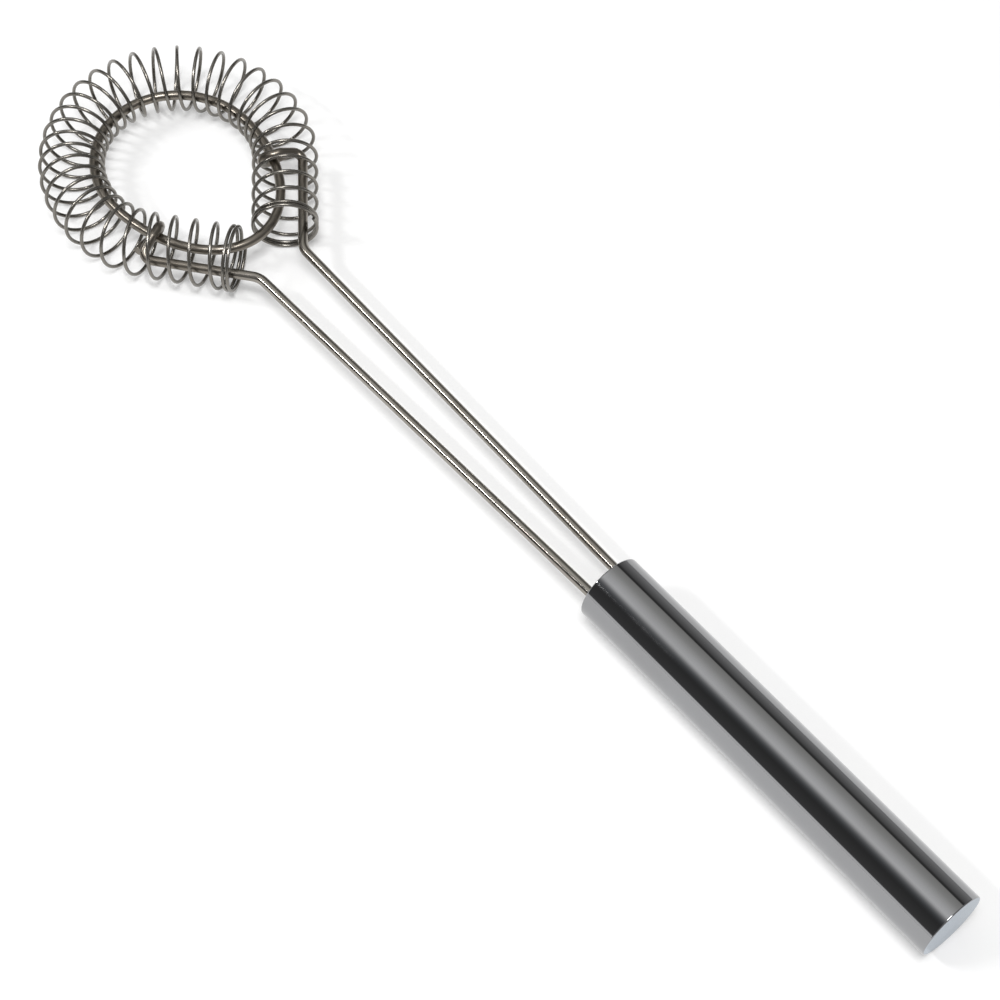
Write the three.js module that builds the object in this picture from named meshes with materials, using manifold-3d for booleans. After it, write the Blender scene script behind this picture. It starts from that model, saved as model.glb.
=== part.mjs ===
// A spiral whisk: a tube handle, two bent leg wires that end in hooks, a closed wire ring that
// rocks in those hooks, and a coil that is threaded over the ring and over the legs' ends.
// Sizes are in millimetres. The whisk lies flat: X runs from the head to the handle's closed
// end, Y across, Z up. While it is built, X = 0 is the handle's front edge and Z = 0 the plane
// of all its wires. The last lines move the origin to the middle of what it lies on.
import * as THREE from "three";
import { mergeVertices } from "three/addons/utils/BufferGeometryUtils.js";
import Module from "manifold-3d";

// Handle
const HANDLE_DIAMETER = 15;
const HANDLE_LENGTH = 95;
const TUBE_WALL = 0.8;
const EDGE_ROUND = 0.25;
const CAP_THICKNESS = 1.2;
const CAP_SKIRT_LENGTH = 8;
const CAP_SKIRT_WALL = 1;
const FRONT_PLUG_RECESS = 0.6;
const FRONT_PLUG_LENGTH = 6;
const ANCHOR_DEPTH = 32;
const ANCHOR_LENGTH = 8;
const TAIL_PAST_ANCHOR = 1.5;

// Wires
const FRAME_WIRE = 2.2;
const COIL_WIRE = 0.8;

// Legs: half of the space between their centre lines at the handle and at the neck, and where
// they bend out at the neck and back at the shoulder
const LEG_HALF_GAP = 3.7;
const NECK_HALF_GAP = 6;
const NECK_DISTANCE = 106.3;
const NECK_BEND_RADIUS = 5;
const SHOULDER_DISTANCE = 127.3;
const SHOULDER_HALF_GAP = 22.6;
const SHOULDER_BEND_RADIUS = 1.8;

// Ring: two half ellipses that share one width
const RING_CENTRE_DISTANCE = 143;
const RING_HALF_WIDTH = 18.5;
const RING_FAR_LENGTH = 20.3;
const RING_TIP_LENGTH = 27.8;

// Hooks: how far from the ring's widest place they grip it, and their tails
const HOOK_SHIFT = 12.4;
const HOOK_TAIL = 4.4;
const HOOK_TAIL_RISE = 0.9;
const HOOK_LEAD_IN = 1.5;
const HOOK_BEND_RADIUS = 2;

// Coil: its outer diameter, how far its axis lies outside the ring's wire, its ends and its turns
const COIL_DIAMETER = 15;
const COIL_OFFSET = 5;
const COIL_END_DISTANCE = 113.4;
const COIL_END_HALF_GAP = 6.6;
const OPEN_TURNS = 34.5;
const CLOSE_TURNS = 2;
const CLOSE_PITCH = 0.95;
const COIL_START_ANGLE = -0.415;

// How unevenly use has spread the open turns: a long and a short wave along the coil, each with
// its swing as a share of the open length and its phase
const SPREAD_WAVES = [
  { count: 1, swing: 0.0152, phase: 0.427 },
  { count: 2, swing: 0.0053, phase: -1.379 },
];

// Clearances
const SEAT_GAP = 0.3;
const HOOK_GAP = 0.25;

// Fineness of the faces
const TURNED_SIDES = 48;
const FRAME_WIRE_SIDES = 8;
const COIL_WIRE_SIDES = 6;
const RING_STEPS = 64;
const STEPS_PER_TURN = 16;
const BEND_STEP = Math.PI / 10;
const WRAP_STEPS = 8;

// Sizes that follow
const HANDLE_RADIUS = HANDLE_DIAMETER / 2;
const BORE_RADIUS = HANDLE_RADIUS - TUBE_WALL;
const PLUG_RADIUS = BORE_RADIUS - SEAT_GAP;
const WIRE_HOLE_RADIUS = FRAME_WIRE / 2 + SEAT_GAP;
const COIL_AXIS_RADIUS = RING_HALF_WIDTH + COIL_OFFSET;
const COIL_RADIUS = (COIL_DIAMETER - COIL_WIRE) / 2;
const HOOK_RADIUS = FRAME_WIRE + HOOK_GAP;
const HOOK_WIDTH = FRAME_WIRE + HOOK_GAP;
const RING_CENTRE = new THREE.Vector2(-RING_CENTRE_DISTANCE, 0);
const UP = new THREE.Vector3(0, 0, 1);

const chrome = { color: 0xb9bbbf, roughness: 0.08, metalness: 1 };
const pale_chrome = { color: 0xacb0ba, roughness: 0.15, metalness: 1 };
const inner_steel = { color: 0x8d8c88, roughness: 0.5, metalness: 1 };
const frame_steel = { color: 0x847c70, roughness: 0.3, metalness: 1 };
const coil_steel = { color: 0x8c857b, roughness: 0.3, metalness: 1 };

const wasm = await Module();
wasm.setup();

function named(name, geometry, look) {
  const mesh = new THREE.Mesh(geometry, new THREE.MeshStandardMaterial(look));
  mesh.name = name;
  return mesh;
}

// A piece turned about X. Each profile point is [x, radius].
function turned(profile) {
  const points = profile.map(([x, radius]) => new THREE.Vector2(radius, x));
  return new THREE.LatheGeometry(points, TURNED_SIDES).rotateZ(-Math.PI / 2);
}

// A closed mesh with only its positions left and its shared corners merged
function bare(geometry) {
  const copy = geometry.clone();
  copy.deleteAttribute("normal");
  copy.deleteAttribute("uv");
  return mergeVertices(copy);
}

function solid(geometry) {
  const merged = bare(geometry);
  return new wasm.Manifold(
    new wasm.Mesh({
      numProp: 3,
      vertProperties: merged.getAttribute("position").array,
      triVerts: new Uint32Array(merged.index.array),
    }),
  );
}

function geometryOf(manifold) {
  const { vertProperties, triVerts } = manifold.getMesh();
  const geometry = new THREE.BufferGeometry();
  geometry.setAttribute("position", new THREE.BufferAttribute(vertProperties, 3));
  geometry.setIndex(new THREE.BufferAttribute(triVerts, 1));
  geometry.computeVertexNormals();
  return geometry;
}

// A disc across the handle's bore, from X = start to end, with a hole for each leg wire
function drilledPlug(start, end) {
  const disc = turned([
    [start, 0],
    [start, PLUG_RADIUS],
    [end, PLUG_RADIUS],
    [end, 0],
  ]);
  const overrun = 1;
  let plug = solid(disc);
  for (const side of [-1, 1]) {
    const length = end - start + 2 * overrun;
    const drill = new THREE.CylinderGeometry(
      WIRE_HOLE_RADIUS,
      WIRE_HOLE_RADIUS,
      length,
      2 * FRAME_WIRE_SIDES,
    );
    drill.rotateZ(-Math.PI / 2).translate((start + end) / 2, side * LEG_HALF_GAP, 0);
    plug = plug.subtract(solid(drill));
  }
  return geometryOf(plug);
}

// A path through given stations, with the tangent at each one halfway between its neighbours
class StationPath extends THREE.Curve {
  constructor(stations) {
    super();
    this.stations = stations;
    this.steps = stations.length - 1;
  }

  getPointAt(share) {
    return this.stations[Math.round(share * this.steps)].clone();
  }

  getTangentAt(share) {
    const at = Math.round(share * this.steps);
    const here = this.stations[at];
    const before = this.stations[Math.max(at - 1, 0)];
    const after = this.stations[Math.min(at + 1, this.steps)];
    const arriving = here.clone().sub(before).normalize();
    const leaving = after.clone().sub(here).normalize();
    return arriving.add(leaving).normalize();
  }
}

// A round wire along a list of stations
function wireAlong(stations, diameter, sides) {
  const section = [];
  for (let i = 0; i < sides; i++) {
    const angle = (2 * Math.PI * i) / sides;
    const x = (diameter / 2) * Math.cos(angle);
    const y = (diameter / 2) * Math.sin(angle);
    section.push(new THREE.Vector2(x, y));
  }
  const path = new StationPath(stations);
  const options = { steps: path.steps, extrudePath: path, bevelEnabled: false };
  return new THREE.ExtrudeGeometry(new THREE.Shape(section), options);
}

// Stations of straight runs joined by round bends. A corner is { at, radius }.
function bentStations(corners) {
  const stations = [corners[0].at.clone()];
  for (let i = 1; i < corners.length - 1; i++) {
    const { at, radius } = corners[i];
    const arriving = at.clone().sub(corners[i - 1].at).normalize();
    const leaving = corners[i + 1].at.clone().sub(at).normalize();
    const turn = arriving.angleTo(leaving);
    const start = at.clone().addScaledVector(arriving, -radius * Math.tan(turn / 2));
    const inward = leaving.clone().addScaledVector(arriving, -leaving.dot(arriving)).normalize();
    const count = Math.max(1, Math.ceil(turn / BEND_STEP));
    for (let k = 0; k <= count; k++) {
      const angle = (turn * k) / count;
      const point = start.clone().addScaledVector(arriving, radius * Math.sin(angle));
      stations.push(point.addScaledVector(inward, radius * (1 - Math.cos(angle))));
    }
  }
  stations.push(corners.at(-1).at.clone());
  return stations;
}

// The ring's centre line, by the angle from the handle's side
function ringPoint(angle) {
  const reach = Math.cos(angle) > 0 ? RING_TIP_LENGTH : RING_FAR_LENGTH;
  return new THREE.Vector3(
    RING_CENTRE.x + reach * Math.cos(angle),
    RING_HALF_WIDTH * Math.sin(angle),
    0,
  );
}

class RingCurve extends THREE.Curve {
  getPoint(share) {
    return ringPoint(2 * Math.PI * share);
  }
}

// The angle on the ring at which the hooks grip it
const HOOK_ANGLE = Math.acos(HOOK_SHIFT / RING_TIP_LENGTH);

// A leg wire on one side of the handle: side is -1 for the left leg and 1 for the right
function legStations(side) {
  const place = (distance, halfGap, height = 0) =>
    new THREE.Vector3(-distance, side * halfGap, height);
  const grip = ringPoint(side * HOOK_ANGLE);
  const alongRing = new THREE.Vector3(
    -RING_TIP_LENGTH * Math.sin(HOOK_ANGLE),
    side * RING_HALF_WIDTH * Math.cos(HOOK_ANGLE),
    0,
  ).normalize();
  const intoRing = new THREE.Vector3()
    .crossVectors(alongRing, UP)
    .multiplyScalar(-side)
    .normalize();
  // A place beside the grip: how far along the ring, how far into it and how high
  const beside = (along, into, height) =>
    grip
      .clone()
      .addScaledVector(alongRing, along)
      .addScaledVector(intoRing, into)
      .addScaledVector(UP, height);
  const tailEnd = ANCHOR_DEPTH + ANCHOR_LENGTH + TAIL_PAST_ANCHOR;
  const stem = bentStations([
    { at: place(-tailEnd, LEG_HALF_GAP) },
    { at: place(SEAT_GAP, LEG_HALF_GAP), radius: NECK_BEND_RADIUS },
    { at: place(NECK_DISTANCE, NECK_HALF_GAP), radius: NECK_BEND_RADIUS },
    { at: place(SHOULDER_DISTANCE, SHOULDER_HALF_GAP), radius: SHOULDER_BEND_RADIUS },
    { at: beside(-HOOK_WIDTH / 2, -HOOK_LEAD_IN, HOOK_RADIUS), radius: HOOK_BEND_RADIUS },
    { at: beside(-HOOK_WIDTH / 2, 0, HOOK_RADIUS) },
  ]);
  const wrap = [];
  for (let k = 1; k <= WRAP_STEPS; k++) {
    const share = k / WRAP_STEPS;
    const angle = Math.PI * share;
    const along = HOOK_WIDTH * (share - 0.5);
    wrap.push(beside(along, HOOK_RADIUS * Math.sin(angle), HOOK_RADIUS * Math.cos(angle)));
  }
  const tail = beside(HOOK_WIDTH / 2, -HOOK_TAIL, HOOK_TAIL_RISE - HOOK_RADIUS);
  return [...stem, ...wrap, tail];
}

// The coil's axis: a straight end, round the ring's centre to its far half, and back
function coilGuide() {
  const guide = new THREE.CurvePath();
  const end = new THREE.Vector2(-COIL_END_DISTANCE, COIL_END_HALF_GAP);
  const fromCentre = end.clone().sub(RING_CENTRE);
  const touch = fromCentre.angle() + Math.acos(COIL_AXIS_RADIUS / fromCentre.length());
  const touchPoint = new THREE.Vector2(Math.cos(touch), Math.sin(touch))
    .multiplyScalar(COIL_AXIS_RADIUS)
    .add(RING_CENTRE);
  const mirrored = (point) => new THREE.Vector2(point.x, -point.y);
  const arc = (reach, from, to) =>
    new THREE.EllipseCurve(RING_CENTRE.x, RING_CENTRE.y, reach, COIL_AXIS_RADIUS, from, to);
  guide.add(new THREE.LineCurve(end, touchPoint));
  guide.add(arc(COIL_AXIS_RADIUS, touch, Math.PI / 2));
  guide.add(arc(RING_FAR_LENGTH + COIL_OFFSET, Math.PI / 2, 1.5 * Math.PI));
  guide.add(arc(COIL_AXIS_RADIUS, 1.5 * Math.PI, 2 * Math.PI - touch));
  guide.add(new THREE.LineCurve(mirrored(touchPoint), mirrored(end)));
  return guide;
}

// The right-handed coil: close-wound at both ends, open between
function coilStations() {
  const guide = coilGuide();
  const length = guide.getLength();
  const closeLength = CLOSE_TURNS * CLOSE_PITCH;
  const openLength = length - 2 * closeLength;
  const turns = OPEN_TURNS + 2 * CLOSE_TURNS;
  const distanceAt = (turn) => {
    if (turn < CLOSE_TURNS) return turn * CLOSE_PITCH;
    if (turn > turns - CLOSE_TURNS) return length - (turns - turn) * CLOSE_PITCH;
    const part = (turn - CLOSE_TURNS) / OPEN_TURNS;
    let spread = part;
    for (const { count, swing, phase } of SPREAD_WAVES) {
      spread += swing * (Math.sin(2 * Math.PI * count * part - phase) + Math.sin(phase));
    }
    return closeLength + spread * openLength;
  };
  const stations = [];
  const steps = Math.round(turns * STEPS_PER_TURN);
  for (let k = 0; k <= steps; k++) {
    const turn = (turns * k) / steps;
    const share = Math.min(1, distanceAt(turn) / length);
    const point = guide.getPoint(share);
    const heading = guide.getTangent(share);
    const forward = new THREE.Vector3(heading.x, heading.y, 0);
    const outward = new THREE.Vector3(heading.y, -heading.x, 0);
    const across = new THREE.Vector3().crossVectors(forward, outward);
    const angle = 2 * Math.PI * turn + COIL_START_ANGLE;
    stations.push(
      new THREE.Vector3(point.x, point.y, 0)
        .addScaledVector(outward, COIL_RADIUS * Math.cos(angle))
        .addScaledVector(across, COIL_RADIUS * Math.sin(angle)),
    );
  }
  return stations;
}

// The handle's shell: a thin tube with eased edges
const tubeEnd = HANDLE_LENGTH - CAP_THICKNESS;
const handleTube = turned([
  [0, BORE_RADIUS],
  [0, HANDLE_RADIUS - EDGE_ROUND],
  [EDGE_ROUND, HANDLE_RADIUS],
  [tubeEnd, HANDLE_RADIUS],
  [tubeEnd, BORE_RADIUS],
  [0, BORE_RADIUS],
]);

// The rear cap: a flat disc as wide as the tube, with a skirt inside it
const rearCap = turned([
  [tubeEnd, 0],
  [tubeEnd, PLUG_RADIUS - CAP_SKIRT_WALL],
  [tubeEnd - CAP_SKIRT_LENGTH, PLUG_RADIUS - CAP_SKIRT_WALL],
  [tubeEnd - CAP_SKIRT_LENGTH, PLUG_RADIUS],
  [tubeEnd, PLUG_RADIUS],
  [tubeEnd, HANDLE_RADIUS],
  [HANDLE_LENGTH - EDGE_ROUND, HANDLE_RADIUS],
  [HANDLE_LENGTH, HANDLE_RADIUS - EDGE_ROUND],
  [HANDLE_LENGTH, 0],
]);

const frontPlug = drilledPlug(FRONT_PLUG_RECESS, FRONT_PLUG_RECESS + FRONT_PLUG_LENGTH);
const wireAnchor = drilledPlug(ANCHOR_DEPTH, ANCHOR_DEPTH + ANCHOR_LENGTH);
const leftLeg = wireAlong(legStations(-1), FRAME_WIRE, FRAME_WIRE_SIDES);
const rightLeg = wireAlong(legStations(1), FRAME_WIRE, FRAME_WIRE_SIDES);
const ring = new THREE.TubeGeometry(
  new RingCurve(),
  RING_STEPS,
  FRAME_WIRE / 2,
  FRAME_WIRE_SIDES,
  true,
);
const coil = wireAlong(coilStations(), COIL_WIRE, COIL_WIRE_SIDES);

const handle = new THREE.Group();
handle.add(named("handle_tube", handleTube, chrome));
handle.add(named("rear_cap", rearCap, pale_chrome));
handle.add(named("front_plug", frontPlug, inner_steel));
handle.add(named("wire_anchor", wireAnchor, inner_steel));
handle.add(named("left_leg_wire", leftLeg, frame_steel));
handle.add(named("right_leg_wire", rightLeg, frame_steel));

const head = new THREE.Group();
head.add(named("head_ring", ring, frame_steel));
head.add(named("whisk_coil", coil, coil_steel));

// The origin goes to the middle of the whisk's length, at the height of what it lies on
const headEnd = -(RING_CENTRE_DISTANCE + RING_FAR_LENGTH + COIL_OFFSET + COIL_DIAMETER / 2);
const whisk = new THREE.Group();
whisk.add(handle, head);
whisk.position.set(-(HANDLE_LENGTH + headEnd) / 2, 0, HANDLE_RADIUS);

export default whisk;
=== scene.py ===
"""The looks of a spiral whisk: a tube handle, two leg wires, a head ring and the thin coil round it.

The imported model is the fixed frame: X runs from the head to the handle's closed end, Y across the
head and Z up from what the whisk lies on. Shapes are worked out in millimetres from the handle's
front edge and the plane of the wires, as on a drawing, and are put into the frame in metres.
"""
import logging
import math
from dataclasses import dataclass, field
from enum import Enum

import bmesh
import bpy
import numpy as np
from mathutils import Matrix, Vector


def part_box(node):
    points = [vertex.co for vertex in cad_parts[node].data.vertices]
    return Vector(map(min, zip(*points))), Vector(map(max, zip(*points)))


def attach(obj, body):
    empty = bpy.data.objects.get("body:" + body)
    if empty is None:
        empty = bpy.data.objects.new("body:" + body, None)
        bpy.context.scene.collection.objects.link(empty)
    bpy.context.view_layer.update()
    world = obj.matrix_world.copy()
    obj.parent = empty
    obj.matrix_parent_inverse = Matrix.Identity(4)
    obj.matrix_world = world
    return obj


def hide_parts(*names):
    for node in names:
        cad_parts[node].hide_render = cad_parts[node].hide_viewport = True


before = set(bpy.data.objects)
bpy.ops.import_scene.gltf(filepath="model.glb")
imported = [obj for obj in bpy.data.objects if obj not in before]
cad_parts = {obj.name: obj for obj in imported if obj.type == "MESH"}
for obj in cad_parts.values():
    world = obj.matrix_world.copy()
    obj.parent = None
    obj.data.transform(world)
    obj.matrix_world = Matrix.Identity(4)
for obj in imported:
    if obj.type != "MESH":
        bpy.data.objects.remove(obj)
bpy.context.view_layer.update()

LOG = logging.getLogger("spiral_whisk")
MM = 0.001
FRONT_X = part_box("handle_tube")[0].x
HANDLE_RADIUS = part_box("handle_tube")[1].z / 2 / MM
HANDLE_LENGTH = (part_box("rear_cap")[1].x - FRONT_X) / MM
TUBE_LENGTH = (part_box("handle_tube")[1].x - FRONT_X) / MM
SMOOTH_BELOW = math.radians(35)
WELD_DISTANCE = MM * 1e-4
NEAREST_SEEN = 0.01

# Noise levels between which a mark goes from none to full
PATCH_LEVELS = (0.45, 0.75)
SPECKLE_LEVELS = (0.3, 0.7)
DEEP_LINE_LEVELS = (0.56, 0.66)
CLOUD_LEVELS = (0.3, 0.7)

# The second noise's scale as a multiple of the first's, and how far deep lines sink
SPECKLE_FINENESS = 7.0
DEEP_LINE_FINENESS = 0.31
DEEP_LINE_SINK = -0.4

Colour = tuple[float, float, float]
Point = tuple[float, float]


class Side(Enum):
    """The whisk's two sides, seen from the handle towards the head."""

    LEFT = -1
    RIGHT = 1


class Body(Enum):
    """The bodies that move on their own."""

    HANDLE = "handle"
    RING = "ring"
    COIL = "coil"


def placed(points: np.ndarray) -> np.ndarray:
    """Turn drawing points into the frame's metres.

    Args:
        points: an array of millimetres whose last axis is X, Y, Z.

    Returns:
        The same points in metres, from the frame's own origin.
    """
    return points * MM + np.array([FRONT_X, 0.0, HANDLE_RADIUS * MM])


def unit(vectors: np.ndarray) -> np.ndarray:
    """Give each vector length 1: v divided by the root of v dot v."""
    return vectors / np.linalg.norm(vectors, axis=-1, keepdims=True)


def mirrored(rows: np.ndarray) -> np.ndarray:
    """Mirror points or directions across the handle's axis: Y changes its sign."""
    return rows * np.array([1.0, -1.0, 1.0])


def new_piece(
    name: str, vertices: np.ndarray, faces: list[list[int]], uvs: np.ndarray | None
) -> bpy.types.Object:
    """Make a smooth shaded object with its place in its mesh.

    Args:
        name: the piece's name.
        vertices: millimetre points, one row each.
        faces: the vertex numbers of each face.
        uvs: one UV pair for each face corner, in the faces' order, or None.

    Returns:
        The new object, at the origin.
    """
    mesh = bpy.data.meshes.new(name)
    mesh.from_pydata(placed(vertices).tolist(), [], faces)
    if uvs is not None:
        mesh.uv_layers.new(name="wire_map").data.foreach_set("uv", uvs.astype(np.float32).ravel())
    mesh.polygons.foreach_set("use_smooth", np.ones(len(mesh.polygons), bool))
    mesh.set_sharp_from_angle(angle=SMOOTH_BELOW)
    mesh.update()
    piece = bpy.data.objects.new(name, mesh)
    bpy.context.scene.collection.objects.link(piece)
    return piece


def grid_faces(rows: int, columns: int, wrap_rows: bool) -> np.ndarray:
    """Number the quads of a grid whose columns close on themselves.

    Corner (i, j) of the grid is vertex i times columns plus j. Each quad joins corners (i, j),
    (i, j + 1), (i + 1, j + 1) and (i + 1, j), with j taken round the closed columns.

    Args:
        rows: how many rows of vertices there are.
        columns: how many vertices a row has.
        wrap_rows: whether the last row joins the first.

    Returns:
        An array of four vertex numbers for each quad.
    """
    first_rows = np.arange(rows if wrap_rows else rows - 1)
    i, j = np.meshgrid(first_rows, np.arange(columns), indexing="ij")
    next_i, next_j = (i + 1) % rows, (j + 1) % columns
    corners = [i * columns + j, i * columns + next_j, next_i * columns + next_j, next_i * columns + j]
    return np.stack(corners, axis=-1).reshape(-1, 4)


@dataclass(frozen=True)
class WirePath:
    """A wire's centre line with a direction square to it at every station.

    Attributes:
        points: the centre line, one row of millimetres for each station.
        across: for each station a direction that is never along the wire.
        closed: whether the last station joins the first.
    """

    points: np.ndarray
    across: np.ndarray
    closed: bool = False

    def tangents(self) -> np.ndarray:
        """The unit direction from each station's neighbour before it to the one after it."""
        if self.closed:
            return unit(np.roll(self.points, -1, axis=0) - np.roll(self.points, 1, axis=0))
        return unit(np.gradient(self.points, axis=0))

    def distances(self) -> np.ndarray:
        """The wire's length up to each station: the running sum of the steps between stations."""
        steps = np.linalg.norm(np.diff(self.points, axis=0), axis=1)
        return np.concatenate([[0.0], np.cumsum(steps)])


def wire_piece(
    name: str, path: WirePath, diameter: float, sides: int, end_bevel: float = 0.12
) -> bpy.types.Object:
    """Carry a circle along a path.

    A point of the surface is the station plus the wire's radius times (cos a across the wire plus
    sin a along the third direction), with a going once round. An open wire ends in a flat cut face
    with a small bevel: the last row moves out by the bevel and shrinks by as much.

    Args:
        name: the piece's name.
        path: the centre line.
        diameter: the wire's diameter in millimetres.
        sides: how many points go round the wire.
        end_bevel: the bevel at a cut end, as a share of the radius.

    Returns:
        The wire, with a UV map whose U goes round it and whose V goes along it, in millimetres.
    """
    radius = diameter / 2
    points, along, lengths = path.points, path.tangents(), path.distances()
    normal = unit(path.across - along * np.sum(path.across * along, axis=1, keepdims=True))
    third = np.cross(along, normal)
    radii = np.full(len(points), radius)
    if not path.closed:
        bevel = radius * end_bevel
        points = np.vstack([points[0] - along[0] * bevel, points, points[-1] + along[-1] * bevel])
        normal = np.vstack([normal[:1], normal, normal[-1:]])
        third = np.vstack([third[:1], third, third[-1:]])
        radii = np.concatenate([[radius - bevel], radii, [radius - bevel]])
        lengths = np.concatenate([[-bevel], lengths, [lengths[-1] + bevel]])
    turn = np.linspace(0, 2 * math.pi, sides, endpoint=False)
    cosine, sine = np.cos(turn)[None, :, None], np.sin(turn)[None, :, None]
    ring = normal[:, None] * cosine + third[:, None] * sine
    surface = points[:, None] + ring * radii[:, None, None]
    rows = len(points)
    quads = grid_faces(rows, sides, path.closed)
    row, column = quads // sides, quads % sides
    column_after = np.where((column == 0) & (column[:, :1] == sides - 1), sides, column)
    total = lengths[-1] + (np.linalg.norm(points[0] - points[-1]) if path.closed else 0.0)
    row_length = np.where((row == 0) & (row[:, :1] == rows - 1) & path.closed, total, lengths[row])
    uvs = np.stack([column_after / sides * math.pi * diameter, row_length], axis=-1).reshape(-1, 2)
    faces = quads.tolist()
    if not path.closed:
        faces += [list(range(sides))[::-1], list(range((rows - 1) * sides, rows * sides))]
        flat = np.stack([np.cos(turn), np.sin(turn)], axis=-1) * radius
        uvs = np.vstack([uvs, flat[::-1], flat + [0.0, lengths[-1]]])
    return new_piece(name, surface.reshape(-1, 3), faces, uvs)


def turned_piece(name: str, profile: np.ndarray, sides: int) -> bpy.types.Object:
    """Turn a closed profile about the handle's axis.

    A point of the surface is (x, r cos a, r sin a) for each profile point (x, r) and each angle a.
    Profile points on the axis become one pole each.

    Args:
        name: the piece's name.
        profile: rows of x and radius in millimetres, going round the metal with it on one side.
        sides: how many points go round.

    Returns:
        The turned piece with its normals outwards.
    """
    turn = np.linspace(0, 2 * math.pi, sides, endpoint=False)
    x, r = profile[:, :1], profile[:, 1:]
    surface = np.stack([x + 0 * turn, r * np.cos(turn), r * np.sin(turn)], axis=-1)
    closed = bool(profile[0, 1] > 0)
    faces = grid_faces(len(profile), sides, closed).tolist()
    piece = new_piece(name, surface.reshape(-1, 3), faces, None)
    shell = bmesh.new()
    shell.from_mesh(piece.data)
    bmesh.ops.remove_doubles(shell, verts=shell.verts, dist=WELD_DISTANCE)
    bmesh.ops.recalc_face_normals(shell, faces=shell.faces)
    shell.to_mesh(piece.data)
    shell.free()
    piece.data.set_sharp_from_angle(angle=SMOOTH_BELOW)
    return piece


def rounded(corner: Point, before: Point, after: Point, radius: float, steps: int = 5) -> np.ndarray:
    """Round one square corner of a turned profile.

    The arc's point at angle a is the corner moved by radius (1 - sin a) towards the point before it
    and radius (1 - cos a) towards the point after it, with a from 0 to a quarter turn.

    Args:
        corner: the corner's x and radius.
        before: the profile point before it.
        after: the profile point after it.
        radius: the arc's radius.
        steps: how many steps the arc has.

    Returns:
        The arc's points, one row each.
    """
    here = np.array(corner)
    back = unit(np.array(before) - here)
    ahead = unit(np.array(after) - here)
    angle = np.linspace(0, math.pi / 2, steps + 1)[:, None]
    return here + radius * (1 - np.sin(angle)) * back + radius * (1 - np.cos(angle)) * ahead


class Nodes:
    """A short way to place and join shader nodes in one tree."""

    def __init__(self, tree: bpy.types.NodeTree) -> None:
        """Keep the tree that the nodes go into."""
        self.tree = tree

    def add(self, kind: str, **values: object) -> bpy.types.Node:
        """Place a node.

        Args:
            kind: the node's type name.
            values: settings of the node, or numbers and links for its sockets. A socket is named by
                its own name with spaces as underscores, or by in_ and its number.

        Returns:
            The new node.
        """
        node = self.tree.nodes.new(kind)
        settings = {k: v for k, v in values.items() if hasattr(node, k)}
        for key, value in settings.items():
            setattr(node, key, value)
        for key, value in values.items():
            if key in settings:
                continue
            by_number = key.startswith("in_")
            socket = node.inputs[int(key[3:]) if by_number else key.replace("_", " ")]
            if isinstance(value, bpy.types.NodeSocket):
                self.tree.links.new(value, socket)
            else:
                socket.default_value = value
        return node

    def math(
        self, operation: str, first: object, second: object = 0.0, third: object = 0.0
    ) -> bpy.types.NodeSocket:
        """Place a Math node and give its result."""
        node = self.add("ShaderNodeMath", operation=operation, in_0=first, in_1=second, in_2=third)
        return node.outputs[0]

    def mapped(
        self, value: object, low: float, high: float, to_low: float, to_high: float
    ) -> bpy.types.NodeSocket:
        """Carry the range low to high onto to_low to to_high, clamped."""
        node = self.add("ShaderNodeMapRange", in_0=value, in_1=low, in_2=high, in_3=to_low, in_4=to_high)
        return node.outputs[0]

    def mixed(self, share: object, first: object, second: object) -> bpy.types.NodeSocket:
        """Mix two colours by a share and give the result."""
        node = self.tree.nodes.new("ShaderNodeMix")
        node.data_type = "RGBA"
        for socket, value in zip((node.inputs[0], node.inputs[6], node.inputs[7]), (share, first, second)):
            if isinstance(value, bpy.types.NodeSocket):
                self.tree.links.new(value, socket)
            else:
                socket.default_value = value
        return node.outputs[2]


def group_tree(
    name: str, inputs: dict[str, tuple[str, float]], outputs: dict[str, str]
) -> tuple[Nodes, bpy.types.Node, bpy.types.Node]:
    """Start a shader node group.

    Args:
        name: the group's name.
        inputs: for each input its kind, Float or Vector, and its first value.
        outputs: for each output its kind.

    Returns:
        The group's nodes helper, its input node and its output node.
    """
    tree = bpy.data.node_groups.new(name, "ShaderNodeTree")
    for label, (kind, value) in inputs.items():
        socket_type = "NodeSocket" + kind
        socket = tree.interface.new_socket(name=label, in_out="INPUT", socket_type=socket_type)
        if kind == "Float":
            socket.default_value = value
    for label, kind in outputs.items():
        tree.interface.new_socket(name=label, in_out="OUTPUT", socket_type="NodeSocket" + kind)
    return Nodes(tree), tree.nodes.new("NodeGroupInput"), tree.nodes.new("NodeGroupOutput")


def smudge_group() -> bpy.types.NodeTree:
    """Build the group that gives a mask of finger smudges and dulled patches.

    The mask is a soft noise, raised to fall off to clean metal, times a finer noise.

    Returns:
        The group, with inputs Vector, Scale and Amount and the output Mask.
    """
    nodes, start, end = group_tree(
        "smudges",
        {"Vector": ("Vector", 0), "Scale": ("Float", 60.0), "Amount": ("Float", 1.0)},
        {"Mask": "Float"},
    )
    large = nodes.add("ShaderNodeTexNoise", Vector=start.outputs[0], Scale=start.outputs[1], Detail=4.0)
    finer = nodes.math("MULTIPLY", start.outputs[1], SPECKLE_FINENESS)
    small = nodes.add("ShaderNodeTexNoise", Vector=start.outputs[0], Scale=finer, Detail=3.0)
    patches = nodes.mapped(large.outputs[0], *PATCH_LEVELS, 0.0, 1.0)
    fine = nodes.mapped(small.outputs[0], *SPECKLE_LEVELS, 0.5, 1.0)
    mask = nodes.math("MULTIPLY", nodes.math("MULTIPLY", patches, fine), start.outputs[2])
    nodes.tree.links.new(mask, end.inputs[0])
    return nodes.tree


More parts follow.
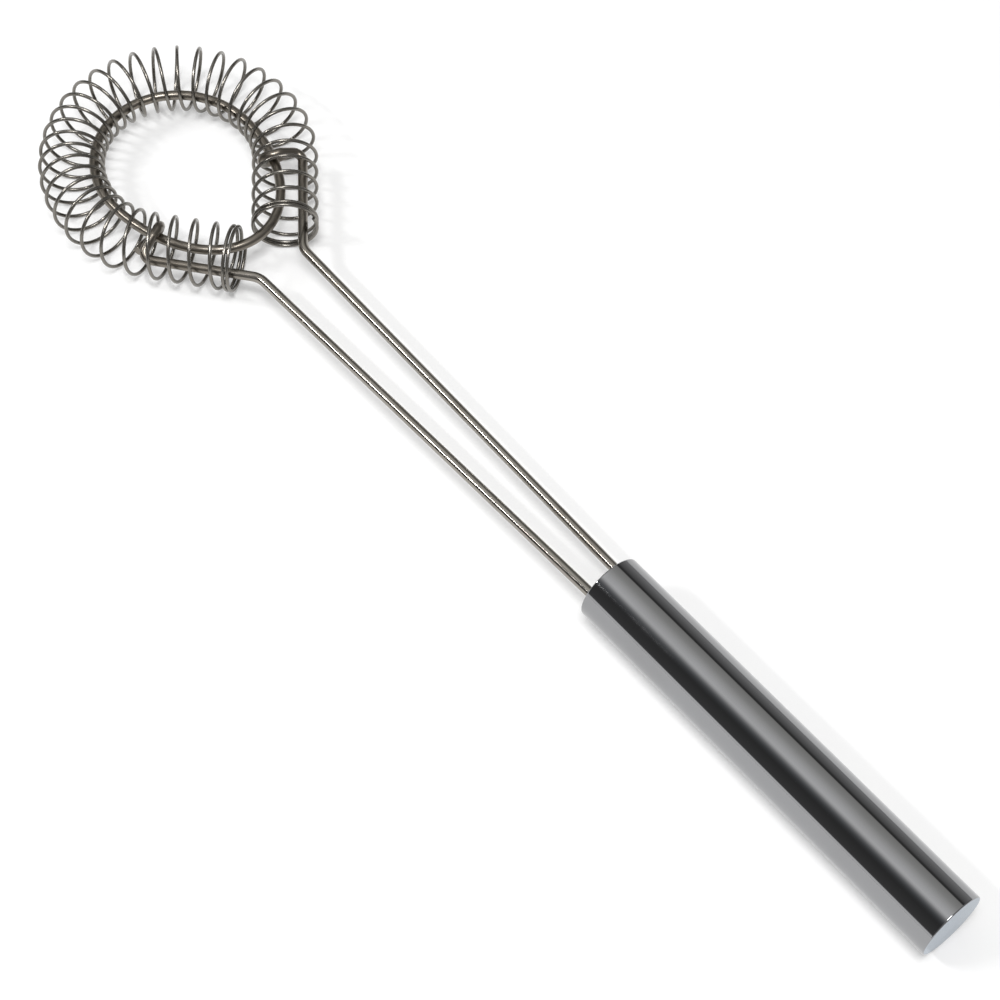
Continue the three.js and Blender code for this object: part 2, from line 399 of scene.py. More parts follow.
def line_group() -> bpy.types.NodeTree:
    """Build the group that gives fine drawing or polishing lines.

    The vector comes in already stretched along the lines. Two noises of it are added, a fine one
    for hair lines and a wider one for deeper marks.

    Returns:
        The group, with the inputs Vector and Scale and the outputs Height and Marks.
    """
    nodes, start, end = group_tree(
        "fine_lines",
        {"Vector": ("Vector", 0), "Scale": ("Float", 1.0)},
        {"Height": "Float", "Marks": "Float"},
    )
    hair = nodes.add("ShaderNodeTexNoise", Vector=start.outputs[0], Scale=start.outputs[1], Detail=5.0)
    wider = nodes.math("MULTIPLY", start.outputs[1], DEEP_LINE_FINENESS)
    deep = nodes.add("ShaderNodeTexNoise", Vector=start.outputs[0], Scale=wider, Detail=2.0)
    marks = nodes.mapped(deep.outputs[0], *DEEP_LINE_LEVELS, 0.0, 1.0)
    height = nodes.math("MULTIPLY_ADD", marks, DEEP_LINE_SINK, hair.outputs[0])
    nodes.tree.links.new(height, end.inputs[0])
    nodes.tree.links.new(marks, end.inputs[1])
    return nodes.tree


@dataclass(frozen=True)
class Groups:
    """The node groups that the finishes share."""

    smudges: bpy.types.NodeTree
    lines: bpy.types.NodeTree

    @classmethod
    def built(cls) -> "Groups":
        """Build each group once."""
        return cls(smudge_group(), line_group())


def rgba(colour: Colour) -> tuple[float, float, float, float]:
    """A colour with full alpha."""
    return (*colour, 1.0)


@dataclass(frozen=True)
class PolishedMetal:
    """A mirror-like finish on turned metal, with faint smudges and polishing lines.

    Attributes:
        name: the material's name.
        clean: the metal's colour.
        smudged: its colour under finger smudges.
        roughness: the roughness of clean metal.
        smudge_roughness: what full smudges add to it.
        line_stretch: how dense the lines are along X, Y and Z, in cycles a metre.
        line_depth: the lines' depth in metres.
        edge_tint: the tint of what it mirrors at a flat angle.
        smudge_scale: how many smudges there are along a metre.
        line_share: what the deeper lines add to the roughness, as a share of full smudges.
    """

    name: str
    clean: Colour
    smudged: Colour
    roughness: float
    smudge_roughness: float
    line_stretch: tuple[float, float, float]
    line_depth: float
    edge_tint: Colour = (1.0, 1.0, 1.0)
    smudge_scale: float = 55.0
    line_share: float = 1 / 3

    def material(self, groups: Groups) -> bpy.types.Material:
        """Build the material.

        Args:
            groups: the shared node groups.

        Returns:
            The new material.
        """
        made = bpy.data.materials.new(self.name)
        made.use_nodes = True
        shader = made.node_tree.nodes["Principled BSDF"]
        shader.inputs["Metallic"].default_value = 1.0
        shader.inputs["Specular Tint"].default_value = rgba(self.edge_tint)
        nodes = Nodes(made.node_tree)
        place = nodes.add("ShaderNodeTexCoord").outputs["Object"]
        smudges = nodes.add(
            "ShaderNodeGroup", node_tree=groups.smudges, Vector=place, Scale=self.smudge_scale, Amount=1.0
        )
        stretched = nodes.add("ShaderNodeMapping", Vector=place, Scale=self.line_stretch)
        lines = nodes.add(
            "ShaderNodeGroup", node_tree=groups.lines, Vector=stretched.outputs[0], Scale=1.0
        )
        colour = nodes.mixed(smudges.outputs[0], rgba(self.clean), rgba(self.smudged))
        rough = nodes.math("MULTIPLY_ADD", smudges.outputs[0], self.smudge_roughness, self.roughness)
        line_roughness = self.smudge_roughness * self.line_share
        rougher = nodes.math("MULTIPLY_ADD", lines.outputs[1], line_roughness, rough)
        bump = nodes.add(
            "ShaderNodeBump", Height=lines.outputs[0], Distance=self.line_depth, Strength=1.0
        )
        made.node_tree.links.new(colour, shader.inputs["Base Color"])
        made.node_tree.links.new(rougher, shader.inputs["Roughness"])
        made.node_tree.links.new(bump.outputs[0], shader.inputs["Normal"])
        return made


@dataclass(frozen=True)
class DrawnWire:
    """Steel wire drawn through a die: fine lines along it, brown-grey patches of film from use, and a
    darker tone over the whisk's head that is set by X alone.

    Attributes:
        name: the material's name.
        bright: the colour of rubbed metal.
        filmed: the colour under the film, and of the head's darker stretch.
        roughness: the roughness of rubbed metal.
        film_roughness: what the film and the head's darker tone add to it.
        line_depth: the drawing lines' depth in metres.
        head_darkening: how far the head's wire is always darkened towards the filmed colour, from 0 to 1.
        head_darkening_reach: where along X the head's darker tone begins and where it is full, in metres.
        patch_scale: how many patches of film there are along a metre.
        line_stretch: how dense the lines are round the wire and along it, in cycles a millimetre.
        line_film: how much film the deeper lines hold, from 0 to 1.
    """

    name: str
    bright: Colour
    filmed: Colour
    roughness: float
    film_roughness: float
    line_depth: float
    head_darkening: float
    head_darkening_reach: tuple[float, float] = (-0.062, -0.074)
    patch_scale: float = 160.0
    line_stretch: tuple[float, float, float] = (6.0, 0.12, 1.0)
    line_film: float = 0.3

    def material(self, groups: Groups) -> bpy.types.Material:
        """Build the material, whose lines follow the wire by its own UV map.

        Args:
            groups: the shared node groups.

        Returns:
            The new material.
        """
        made = bpy.data.materials.new(self.name)
        made.use_nodes = True
        shader = made.node_tree.nodes["Principled BSDF"]
        shader.inputs["Metallic"].default_value = 1.0
        nodes = Nodes(made.node_tree)
        place = nodes.add("ShaderNodeTexCoord").outputs["Object"]
        along = nodes.add("ShaderNodeUVMap", uv_map="wire_map").outputs[0]
        patches = nodes.add(
            "ShaderNodeGroup", node_tree=groups.smudges, Vector=place, Scale=self.patch_scale, Amount=1.0
        )
        along_x = nodes.add("ShaderNodeSeparateXYZ", Vector=place).outputs[0]
        begins, full = self.head_darkening_reach
        # Over the head the wire is darkened towards the filmed colour by its X alone, whatever the patches
        # do.
        head = nodes.mapped(along_x, full, begins, self.head_darkening, 0.0)
        film_and_head_tone = nodes.math("MAXIMUM", patches.outputs[0], head)
        stretched = nodes.add("ShaderNodeMapping", Vector=along, Scale=self.line_stretch)
        lines = nodes.add(
            "ShaderNodeGroup", node_tree=groups.lines, Vector=stretched.outputs[0], Scale=1.0
        )
        worn = nodes.math("MULTIPLY_ADD", lines.outputs[1], self.line_film, film_and_head_tone)
        colour = nodes.mixed(nodes.math("MINIMUM", worn, 1.0), rgba(self.bright), rgba(self.filmed))
        rough = nodes.math("MULTIPLY_ADD", film_and_head_tone, self.film_roughness, self.roughness)
        bump = nodes.add(
            "ShaderNodeBump", Height=lines.outputs[0], Distance=self.line_depth, Strength=1.0
        )
        made.node_tree.links.new(colour, shader.inputs["Base Color"])
        made.node_tree.links.new(rough, shader.inputs["Roughness"])
        made.node_tree.links.new(bump.outputs[0], shader.inputs["Normal"])
        return made


@dataclass(frozen=True)
class Finishes:
    """The finishes of the whisk's pieces, as materials."""

    handle: bpy.types.Material
    cap: bpy.types.Material
    inner: bpy.types.Material
    frame_wire: bpy.types.Material
    coil_wire: bpy.types.Material

    @classmethod
    def built(cls) -> "Finishes":
        """Build each finish once."""
        groups = Groups.built()
        handle = PolishedMetal(
            name="handle_chrome",
            clean=(0.312, 0.314, 0.322),
            smudged=(0.285, 0.285, 0.29),
            roughness=0.05,
            smudge_roughness=0.06,
            line_stretch=(60.0, 900.0, 900.0),
            line_depth=0.5e-6,
        )
        cap = PolishedMetal(
            name="cap_chrome",
            clean=(0.38, 0.416, 0.485),
            smudged=(0.345, 0.378, 0.437),
            roughness=0.14,
            smudge_roughness=0.1,
            line_stretch=(900.0, 700.0, 90.0),
            line_depth=1.0e-6,
            edge_tint=(0.83, 0.86, 0.87),
        )
        inner = PolishedMetal(
            name="inner_steel",
            clean=(0.30, 0.30, 0.29),
            smudged=(0.16, 0.15, 0.13),
            roughness=0.35,
            smudge_roughness=0.25,
            line_stretch=(90.0, 900.0, 900.0),
            line_depth=4.0e-6,
        )
        frame_wire = DrawnWire(
            name="frame_wire",
            bright=(0.32, 0.30, 0.27),
            filmed=(0.195, 0.174, 0.147),
            roughness=0.14,
            film_roughness=0.18,
            line_depth=1.0e-6,
            head_darkening=0.85,
        )
        coil_wire = DrawnWire(
            name="coil_wire",
            bright=(0.25, 0.237, 0.215),
            filmed=(0.135, 0.124, 0.108),
            roughness=0.2,
            film_roughness=0.15,
            line_depth=1.0e-6,
            head_darkening=0.25,
        )
        return cls(*(f.material(groups) for f in (handle, cap, inner, frame_wire, coil_wire)))


def finish_piece(
    piece: bpy.types.Object, body: Body, slot: str, material: bpy.types.Material, *nodes: str
) -> None:
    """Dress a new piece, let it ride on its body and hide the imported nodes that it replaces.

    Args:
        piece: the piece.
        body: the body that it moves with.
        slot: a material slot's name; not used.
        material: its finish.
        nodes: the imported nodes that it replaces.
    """
    piece.data.materials.append(material)
    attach(piece, body.value)
    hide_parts(*nodes)
    LOG.info("%s: %d faces, rides on %s", piece.name, len(piece.data.polygons), body.value)


@dataclass
class Handle:
    """The tube handle with its end cap and the two plugs inside it.

    Sizes are in millimetres. The edge guard is a narrow straight step beside each rounding, which
    keeps the smooth shading of the rounding off the flat metal beside it. A face whose normal has
    more than end_face_normal along X belongs to the cap's flat end.
    """

    tube_wall: float = 0.8
    edge_round: float = 0.25
    edge_guard: float = 0.02
    tube_stations: int = 24
    end_face_normal: float = 0.98
    cap_skirt_length: float = 8.0
    cap_skirt_wall: float = 1.0
    seat_gap: float = 0.3
    sides: int = 256

    def bore(self) -> float:
        """The tube's inner radius."""
        return HANDLE_RADIUS - self.tube_wall

    def tube(self) -> bpy.types.Object:
        """Turn the tube from its outline: outer wall, rounded mouth and inner wall."""
        outer, inner, edge = HANDLE_RADIUS, self.bore(), self.edge_round
        straight = np.linspace(edge + self.edge_guard, TUBE_LENGTH, self.tube_stations)
        run = np.append(edge, straight)[:, None]
        profile = np.vstack([
            rounded((0, inner), (TUBE_LENGTH, inner), (0, outer), edge),
            rounded((0, outer), (0, inner), (TUBE_LENGTH, outer), edge),
            np.hstack([run[1:], np.full_like(run[1:], outer)]),
            np.hstack([run[:0:-1], np.full_like(run[1:], inner)]),
        ])
        return turned_piece("handle_shell", profile, self.sides)

    def cap(self) -> bpy.types.Object:
        """Turn the cap from its outline: the skirt in the tube, the rim and the flat end face."""
        end, outer, edge = HANDLE_LENGTH, HANDLE_RADIUS, self.edge_round
        skirt_outer = self.bore() - self.seat_gap
        skirt_inner = skirt_outer - self.cap_skirt_wall
        skirt_end = TUBE_LENGTH - self.cap_skirt_length
        profile = np.vstack([
            [[TUBE_LENGTH, 0.0], [TUBE_LENGTH, skirt_inner], [skirt_end, skirt_inner]],
            [[skirt_end, skirt_outer], [TUBE_LENGTH, skirt_outer], [TUBE_LENGTH, outer]],
            [[end - edge - self.edge_guard, outer]],
            rounded((end, outer), (TUBE_LENGTH, outer), (end, 0), edge),
            [[end, outer - edge - self.edge_guard], [end, 0.0]],
        ])
        return turned_piece("rear_cap_disc", profile, self.sides)

    def build(self, finishes: Finishes) -> None:
        """Make the handle's pieces and dress them.

        Args:
            finishes: the whisk's materials.
        """
        finish_piece(self.tube(), Body.HANDLE, "handle_chrome", finishes.handle, "handle_tube")
        cap = self.cap()
        finish_piece(cap, Body.HANDLE, "cap_chrome", finishes.cap, "rear_cap")
        self.dress_cap_rim(cap, finishes)
        for name in ("front_plug", "wire_anchor"):
            self.dress_inner(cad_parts[name], finishes)

    @staticmethod
    def dress_cap_rim(cap: bpy.types.Object, finishes: Finishes) -> None:
        """Give the cap's rim the handle's own finish: every face whose normal isn't along X.

        Args:
            cap: the cap.
            finishes: the whisk's materials.
        """
        cap.data.materials.append(finishes.handle)
        normals = np.zeros(len(cap.data.polygons) * 3, np.float32)
        cap.data.polygons.foreach_get("normal", normals)
        on_rim = np.abs(normals.reshape(-1, 3)[:, 0]) < Handle.end_face_normal
        cap.data.polygons.foreach_set("material_index", on_rim.astype(np.int32))

    @staticmethod
    def dress_inner(node: bpy.types.Object, finishes: Finishes) -> None:
        """Give a plug inside the tube its plain steel finish.

        Args:
            node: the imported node.
            finishes: the whisk's materials.
        """
        node.data.materials.clear()
        node.data.materials.append(finishes.inner)
        LOG.info("%s: dressed as packed", node.name)


@dataclass
class HeadRing:
    """The closed ring of thick wire: two half ellipses of one width. Sizes are in millimetres."""

    wire: float = 2.2
    centre_distance: float = 143.0
    half_width: float = 18.5
    far_length: float = 20.3
    tip_length: float = 27.8
    stations: int = 320
    sides: int = 24

    def point(self, angle: np.ndarray) -> np.ndarray:
        """Find the centre line at some angles.

        X is the centre plus the reach times cos a, and Y the half width times sin a. The reach is
        the tip's length on the handle's side and the far length on the other.

        Args:
            angle: angles from the handle's direction.

        Returns:
            One row of X, Y and Z for each angle.
        """
        reach = np.where(np.cos(angle) > 0, self.tip_length, self.far_length)
        x = reach * np.cos(angle) - self.centre_distance
        return np.stack([x, self.half_width * np.sin(angle), 0 * angle], axis=-1)

    def build(self, finishes: Finishes) -> None:
        """Make the ring and dress it.

        Args:
            finishes: the whisk's materials.
        """
        angle = np.linspace(0, 2 * math.pi, self.stations, endpoint=False)
        points = self.point(angle)
        path = WirePath(points, np.tile([0.0, 0.0, 1.0], (len(points), 1)), closed=True)
        piece = wire_piece("ring_wire", path, self.wire, self.sides)
        finish_piece(piece, Body.RING, "frame_wire", finishes.frame_wire, "head_ring")


@dataclass
class LegWires:
    """The two leg wires, from the anchor in the handle to the hooks round the ring.

    Sizes are in millimetres. Half gaps are from the handle's axis to a wire's centre line, and
    distances are from the handle's front edge towards the head.
    """

    ring: HeadRing
    wire: float = 2.2
    tail_depth: float = 41.5
    half_gap: float = 3.7
    neck_distance: float = 106.3
    neck_half_gap: float = 6.0
    neck_bend: float = 5.0
    shoulder_distance: float = 127.3
    shoulder_half_gap: float = 22.6
    shoulder_bend: float = 1.8
    entry_lead: float = 0.3
    hook_shift: float = 12.4
    hook_gap: float = 0.25
    hook_lead: float = 1.5
    hook_bend: float = 2.0
    tail_length: float = 4.4
    tail_rise: float = 0.9
    bend_steps: int = 14
    sides: int = 24

    def grip_frame(self) -> tuple[np.ndarray, np.ndarray, np.ndarray]:
        """Find where the right hook grips the ring.

        Returns:
            The ring's centre line point there, the unit direction along the ring towards its far
            end, and the unit direction into the ring's eye.
        """
        angle = math.acos(self.hook_shift / self.ring.tip_length)
        grip = self.ring.point(np.array(angle))
        towards_head = -self.ring.tip_length * math.sin(angle)
        sideways = self.ring.half_width * math.cos(angle)
        along = unit(np.array([towards_head, sideways, 0.0]))
        return grip, along, np.array([-along[1], along[0], 0.0])

    def bent(self, corners: list[tuple[np.ndarray, float]]) -> np.ndarray:
        """Join straight runs by round bends.

        In a bend of radius r that turns by t, the point at angle a is the bend's start plus r sin a
        along the arriving run and r (1 - cos a) towards the bend's centre, with a from 0 to t. The
        start lies r tan(t / 2) before the corner.

        Args:
            corners: each corner's point and bend radius. The first and last aren't bent.

        Returns:
            The centre line's points.
        """
        stations = [corners[0][0][None]]
        for (before, _), (at, radius), (after, _) in zip(corners, corners[1:], corners[2:]):
            arriving, leaving = unit(at - before), unit(after - at)
            turn = math.acos(float(np.clip(arriving @ leaving, -1, 1)))
            inward = unit(leaving - arriving * (leaving @ arriving))
            angle = np.linspace(0, turn, self.bend_steps)[:, None]
            start = at - arriving * radius * math.tan(turn / 2)
            stations.append(start + radius * (np.sin(angle) * arriving + (1 - np.cos(angle)) * inward))
        stations.append(corners[-1][0][None])
        return np.vstack(stations)

    def path(self, side: Side) -> WirePath:
        """Lay out one leg's centre line.

        The hook goes half way round the ring's wire: at share s of it the wire lies at angle pi s
        from straight above the ring, and s minus a half of the hook's width along it.

        Args:
            side: which leg.

        Returns:
            The centre line, with the direction away from the ring's wire as its across direction.
        """
        grip, along, into = self.grip_frame()
        up = np.array([0.0, 0.0, 1.0])
        lift = self.wire + self.hook_gap
        first = grip - along * lift / 2 + up * lift
        stem = self.bent([
            (np.array([self.tail_depth, self.half_gap, 0.0]), 0.0),
            (np.array([-self.entry_lead, self.half_gap, 0.0]), self.neck_bend),
            (np.array([-self.neck_distance, self.neck_half_gap, 0.0]), self.neck_bend),
            (np.array([-self.shoulder_distance, self.shoulder_half_gap, 0.0]), self.shoulder_bend),
            (first - into * self.hook_lead, self.hook_bend),
            (first, 0.0),
        ])
        share = np.linspace(0, 1, 2 * self.bend_steps)[1:, None]
        away = np.cos(math.pi * share) * up + np.sin(math.pi * share) * into
        wrap = grip + along * lift * (share - 0.5) + lift * away
        last = grip + along * lift / 2 - into * self.tail_length + up * (self.tail_rise - lift)
        points = np.vstack([stem, wrap, last[None]])
        across = np.vstack([np.tile(up, (len(stem), 1)), away, -up[None]])
        if side is Side.LEFT:
            return WirePath(mirrored(points), mirrored(across))
        return WirePath(points, across)

    def build(self, finishes: Finishes) -> None:
        """Make both legs and dress them.

        Args:
            finishes: the whisk's materials.
        """
        for side in Side:
            name = side.name.lower()
            piece = wire_piece(f"{name}_leg", self.path(side), self.wire, self.sides)
            finish_piece(piece, Body.HANDLE, "frame_wire", finishes.frame_wire, f"{name}_leg_wire")


@dataclass
class WhiskCoil:
    """The thin coil that is threaded over the ring and the legs' ends. Sizes are in millimetres."""

    ring: HeadRing
    wire: float = 0.8
    outer_diameter: float = 14.88
    offset: float = 5.0
    end_distance: float = 113.4
    end_half_gap: float = 6.6
    open_turns: float = 34.5
    close_turns: float = 2.0
    close_pitch: float = 0.95
    start_angle: float = -0.415
    spread_waves: tuple[tuple[int, float, float], ...] = ((1, 0.0152, 0.427), (2, 0.0053, -1.379))
    steps_per_turn: int = 56
    sides: int = 14
    guide_steps: int = 600

    def guide(self) -> np.ndarray:
        """Lay out the coil's axis from one end to the other.

        A straight run from the right end touches a circle about the ring's centre, whose radius is
        the ring's half width plus the offset. Beyond the widest place the circle becomes an
        ellipse that reaches as far as the ring's far end plus the offset. The left half mirrors it.

        Returns:
            The axis as rows of X and Y.
        """
        centre = np.array([-self.ring.centre_distance, 0.0])
        radius = self.ring.half_width + self.offset
        end = np.array([-self.end_distance, self.end_half_gap])
        out = end - centre
        touch = math.atan2(out[1], out[0]) + math.acos(radius / np.linalg.norm(out))
        near = np.linspace(touch, math.pi / 2, self.guide_steps)
        far = np.linspace(math.pi / 2, math.pi, self.guide_steps)[1:]
        reach = self.ring.far_length + self.offset
        round_part = np.vstack([
            np.stack([radius * np.cos(near), radius * np.sin(near)], axis=-1),
            np.stack([reach * np.cos(far), radius * np.sin(far)], axis=-1),
        ]) + centre
        run = np.linspace(0, 1, self.guide_steps)[:-1, None]
        right = np.vstack([end + (round_part[0] - end) * run, round_part])
        left = right[-2::-1] * [1.0, -1.0]
        return np.vstack([right, left])

    def travelled(self, turn: np.ndarray, total: float) -> np.ndarray:
        """Find how far along the guide the coil has come after some turns.

        The close turns at both ends go on by the close pitch. At share u of the open turns the
        distance is the close part plus the open length times u and, for each spread wave, its swing
        times (sin(2 pi count u - phase) + sin(phase)). A wave is its count, swing and phase.

        Args:
            turn: how many turns have been wound.
            total: the guide's length.

        Returns:
            The distance for each turn, in millimetres.
        """
        turns = self.open_turns + 2 * self.close_turns
        close = self.close_turns * self.close_pitch
        share = (turn - self.close_turns) / self.open_turns
        spread = share + sum(
            swing * (np.sin(2 * math.pi * count * share - phase) + math.sin(phase))
            for count, swing, phase in self.spread_waves
        )
        opened = close + spread * (total - 2 * close)
        closing = total - (turns - turn) * self.close_pitch
        started = np.where(turn < self.close_turns, turn * self.close_pitch, opened)
        return np.where(turn > turns - self.close_turns, closing, started)

    def path(self) -> WirePath:
        """Wind the wire round the guide.

        A station is the guide's point plus the coil's radius times (cos a outwards plus sin a
        across), with a growing by a whole turn for each turn wound.

        Returns:
            The wire's centre line, with the direction away from the guide as its across direction.
        """
        guide = self.guide()
        steps = np.linalg.norm(np.diff(guide, axis=0), axis=1)
        lengths = np.concatenate([[0.0], np.cumsum(steps)])
        turns = self.open_turns + 2 * self.close_turns
        turn = np.linspace(0, turns, round(turns * self.steps_per_turn) + 1)
        distance = self.travelled(turn, lengths[-1])
        x, y = (np.interp(distance, lengths, guide[:, k]) for k in (0, 1))
        heading = unit(np.gradient(guide, axis=0))
        hx, hy = (np.interp(distance, lengths, heading[:, k]) for k in (0, 1))
        zero = np.zeros_like(turn)
        forward = unit(np.stack([hx, hy, zero], axis=-1))
        outward = np.stack([forward[:, 1], -forward[:, 0], zero], axis=-1)
        across = np.cross(forward, outward)
        angle = (2 * math.pi * turn + self.start_angle)[:, None]
        away = outward * np.cos(angle) + across * np.sin(angle)
        radius = (self.outer_diameter - self.wire) / 2
        return WirePath(np.stack([x, y, zero], axis=-1) + radius * away, away)

    def build(self, finishes: Finishes) -> None:
        """Make the coil and dress it.

        Args:
            finishes: the whisk's materials.
        """
        piece = wire_piece("coil_spring", self.path(), self.wire, self.sides)
        finish_piece(piece, Body.COIL, "coil_wire", finishes.coil_wire, "whisk_coil")


@dataclass(frozen=True)
class SkyBand:
    """One stop of the studio's surroundings, by its angle about the handle.

    Attributes:
        angle: degrees from straight up towards the whisk's left side, below 0 towards its right.
        light: how bright it is, where 1 is white.
        tint: its colour at full brightness.
    """

    angle: float
    light: float
    tint: Colour = (1.0, 1.0, 1.0)


@dataclass(frozen=True)
class Lamp:
    """A soft rectangular lamp that shines at the whisk's middle.

    Attributes:
        name: the lamp's name.
        place: where it hangs, in metres.
        width: its side along X.
        depth: its other side.
        power: its power in watts.
    """

    name: str
    place: tuple[float, float, float]
    width: float
    depth: float
    power: float

    def hang(self) -> None:
        """Hang the lamp.

        Its Z axis points away from the middle, its X axis is the part of the world's X that is
        square to that, and its Y axis is square to both.
        """
        light = bpy.data.lights.new(self.name, "AREA")
        light.shape = "RECTANGLE"
        light.size = self.width
        light.size_y = self.depth
        light.energy = self.power
        lamp = bpy.data.objects.new(self.name, light)
        bpy.context.scene.collection.objects.link(lamp)
        lamp.location = self.place
        away = Vector(self.place).normalized()
        level = (Vector((1.0, 0.0, 0.0)) - away * away.x).normalized()
        lamp.rotation_euler = Matrix((level, away.cross(level), away)).transposed().to_euler()
        lamp.visible_camera = False


@dataclass
class Studio:
    """The floor, the soft surroundings, the lamps and the camera.

    Attributes:
        floor_size: the floor's side in metres.
        floor_colour: its colour.
        floor_shade: the colour of its faint darker clouds, as a share of its colour.
        floor_roughness: its roughness.
        floor_shine: its specular level.
        cloud_scale: how many clouds there are along a metre.
        floor_glow: how much it lights itself near the whisk, where 1 is white.
        floor_reach: how far from the middle it begins to fade to white and where it is white.
        sky_light: the sky's light at the horizon and straight up.
        cloth_reach: between which X of the mirrored direction the bands are seen.
        cloth_softness: over how much of that X the bands begin and end.
        camera_azimuth: degrees from the whisk's left side towards the handle's end.
        camera_elevation: degrees above the floor.
        camera_distance: metres from its target.
        camera_target: the point that it looks at.
        camera_lens: its focal length in millimetres.
        lamps: the lamps.
        bands: the stops of the surroundings, from one angle to the next.
    """

    floor_size: float = 12.0
    floor_colour: Colour = (0.76, 0.76, 0.76)
    floor_shade: float = 0.99
    floor_roughness: float = 0.9
    floor_shine: float = 0.1
    cloud_scale: float = 3.0
    floor_glow: float = 0.25
    floor_reach: tuple[float, float] = (0.8, 2.6)
    sky_light: tuple[float, float] = (0.18, 0.42)
    cloth_reach: tuple[float, float] = (-0.64, -0.08)
    cloth_softness: float = 0.04
    camera_azimuth: float = 49.2
    camera_elevation: float = 59.13
    camera_distance: float = 0.506
    camera_target: tuple[float, float, float] = (0.0074, -0.00033, 0.0)
    camera_lens: float = 87.26
    lamps: tuple[Lamp, ...] = (
        Lamp("leg_glint_lamp", (-0.56, -0.64, 0.83), 0.34, 0.08, 4.4),
        Lamp("overhead_lamp", (0.24, -0.21, 1.25), 0.4, 0.42, 9.0),
    )
    bands: tuple[SkyBand, ...] = field(default_factory=lambda: (
        SkyBand(-180, 0.48),
        SkyBand(-95, 0.468),
        SkyBand(-85, 0.408),
        SkyBand(-76, 0.324),
        SkyBand(-67, 0.24),
        SkyBand(-59, 0.18),
        SkyBand(-52, 0.072),
        SkyBand(-47, 0.06),
        SkyBand(-45.5, 0.47, (1.0, 0.99, 0.95)),
        SkyBand(-26, 0.61, (1.0, 1.0, 0.97)),
        SkyBand(-14, 0.80, (1.0, 1.0, 0.98)),
        SkyBand(-2, 0.972),
        SkyBand(10, 1.092),
        SkyBand(15.6, 0.888),
        SkyBand(21.3, 0.48),
        SkyBand(27, 0.252, (0.94, 0.97, 1.0)),
        SkyBand(33, 0.132, (0.92, 0.96, 1.0)),
        SkyBand(39, 0.084, (0.94, 0.97, 1.0)),
        SkyBand(45, 0.066),
        SkyBand(75, 0.096),
        SkyBand(82, 0.108),
        SkyBand(84, 1.08),
        SkyBand(180, 1.08),
    ))

    def floor(self) -> None:
        """Lay a plain square floor under the whisk and give it a matt pale material.

        For the camera its own light grows from the floor glow near the whisk to white far away.
        What mirrors the floor sees the floor glow everywhere.
        """
        half = self.floor_size / 2
        mesh = bpy.data.meshes.new("floor")
        corners = [(-half, -half, 0), (half, -half, 0), (half, half, 0), (-half, half, 0)]
        mesh.from_pydata(corners, [], [(0, 1, 2, 3)])
        floor = bpy.data.objects.new("floor", mesh)
        bpy.context.scene.collection.objects.link(floor)
        material = bpy.data.materials.new("pale_floor")
        material.use_nodes = True
        shader = material.node_tree.nodes["Principled BSDF"]
        shader.inputs["Roughness"].default_value = self.floor_roughness
        shader.inputs["Specular IOR Level"].default_value = self.floor_shine
        nodes = Nodes(material.node_tree)
        place = nodes.add("ShaderNodeTexCoord").outputs["Object"]
        cloud = nodes.add("ShaderNodeTexNoise", Vector=place, Scale=self.cloud_scale, Detail=2.0)
        shade = nodes.mapped(cloud.outputs[0], *CLOUD_LEVELS, 0.0, 1.0)
        darker = tuple(c * self.floor_shade for c in self.floor_colour)
        colour = nodes.mixed(shade, rgba(darker), rgba(self.floor_colour))
        material.node_tree.links.new(colour, shader.inputs["Base Color"])
        rays = nodes.add("ShaderNodeLightPath")
        away = nodes.add("ShaderNodeVectorMath", operation="LENGTH", in_0=place).outputs["Value"]
        fading = nodes.mapped(away, *self.floor_reach, self.floor_glow, 1.0)
        seen = nodes.math("MULTIPLY", rays.outputs["Is Camera Ray"], fading)
        glossy, through = rays.outputs["Is Glossy Ray"], rays.outputs["Is Transmission Ray"]
        indirect = nodes.math("ADD", glossy, through)
        glow = nodes.math("MULTIPLY_ADD", indirect, self.floor_glow, seen)
        shader.inputs["Emission Color"].default_value = (1.0, 1.0, 1.0, 1.0)
        material.node_tree.links.new(glow, shader.inputs["Emission Strength"])
        mesh.materials.append(material)

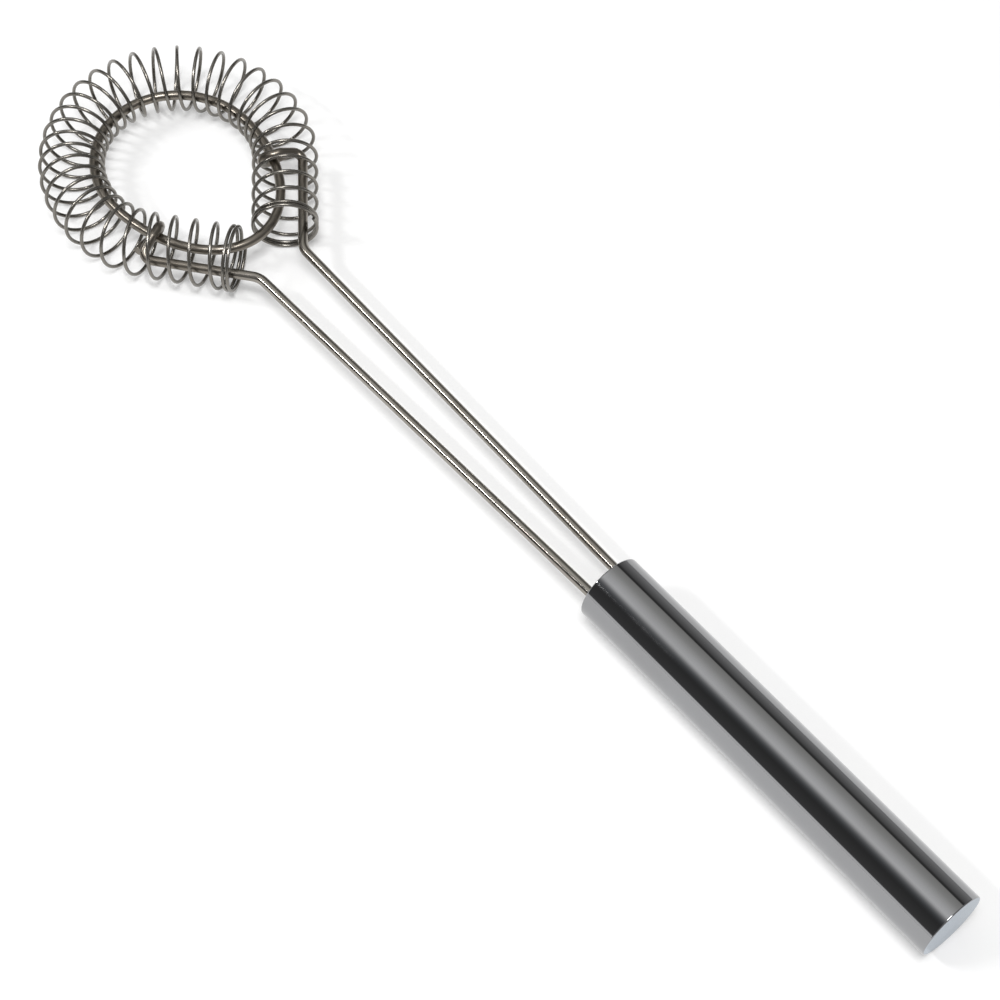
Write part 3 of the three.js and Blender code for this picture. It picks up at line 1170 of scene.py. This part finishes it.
    def surroundings(self) -> None:
        """Light the world by the angle about the handle's axis: the arc tangent of -Y over Z.

        The bands reach only as far along X as the handle mirrors them. Beyond them the sky grows
        lighter from the horizon up. The camera itself sees plain white.
        """
        world = bpy.data.worlds.new("studio")
        bpy.context.scene.world = world
        world.use_nodes = True
        nodes = Nodes(world.node_tree)
        background = world.node_tree.nodes["Background"]
        direction = nodes.add("ShaderNodeTexCoord").outputs["Generated"]
        parts = nodes.add("ShaderNodeSeparateXYZ", Vector=direction)
        leftward = nodes.math("MULTIPLY", parts.outputs[1], -1.0)
        angle = nodes.math("ARCTAN2", leftward, parts.outputs[2])
        share = nodes.mapped(angle, -math.pi, math.pi, 0.0, 1.0)
        ramp = nodes.add("ShaderNodeValToRGB", Fac=share)
        stops = ramp.color_ramp.elements
        while len(stops) < len(self.bands):
            stops.new(0.5)
        for stop, band in zip(stops, self.bands):
            stop.position = (band.angle + 180) / 360
            stop.color = rgba(tuple(band.light * c for c in band.tint))
        far, near = self.cloth_reach
        begun = nodes.mapped(parts.outputs[0], far - self.cloth_softness, far, 0.0, 1.0)
        kept = nodes.mapped(parts.outputs[0], near, near + self.cloth_softness, 1.0, 0.0)
        horizon, zenith = (rgba((light,) * 3) for light in self.sky_light)
        sky = nodes.mixed(nodes.mapped(parts.outputs[2], 0.0, 1.0, 0.0, 1.0), horizon, zenith)
        light = nodes.mixed(nodes.math("MULTIPLY", begun, kept), sky, ramp.outputs[0])
        seen = nodes.add("ShaderNodeLightPath").outputs["Is Camera Ray"]
        shown = nodes.mixed(seen, light, rgba((1.0, 1.0, 1.0)))
        world.node_tree.links.new(shown, background.inputs["Color"])
        background.inputs["Strength"].default_value = 1.0

    def camera(self) -> None:
        """Stand the camera where the photograph was taken from: above the rear of the handle."""
        azimuth, elevation = math.radians(self.camera_azimuth), math.radians(self.camera_elevation)
        level = math.cos(elevation)
        away = Vector((math.sin(azimuth) * level, -math.cos(azimuth) * level, math.sin(elevation)))
        data = bpy.data.cameras.new("camera")
        data.lens = self.camera_lens
        data.clip_start = NEAREST_SEEN
        camera = bpy.data.objects.new("camera", data)
        bpy.context.scene.collection.objects.link(camera)
        camera.location = Vector(self.camera_target) + away * self.camera_distance
        camera.rotation_euler = (-away).to_track_quat("-Z", "Y").to_euler()
        bpy.context.scene.camera = camera

    def build(self) -> None:
        """Set up the floor, the light and the camera."""
        self.floor()
        self.surroundings()
        for lamp in self.lamps:
            lamp.hang()
        self.camera()
        bpy.context.scene.view_settings.view_transform = "Standard"


def main() -> None:
    """Build the whisk's pieces in order, then the studio, and report each piece."""
    logging.basicConfig(level=logging.INFO, format="%(name)s %(message)s")
    finishes = Finishes.built()
    ring = HeadRing()
    for part in (Handle(), ring, LegWires(ring), WhiskCoil(ring)):
        part.build(finishes)
    Studio().build()


if __name__ == "__main__":
    main()
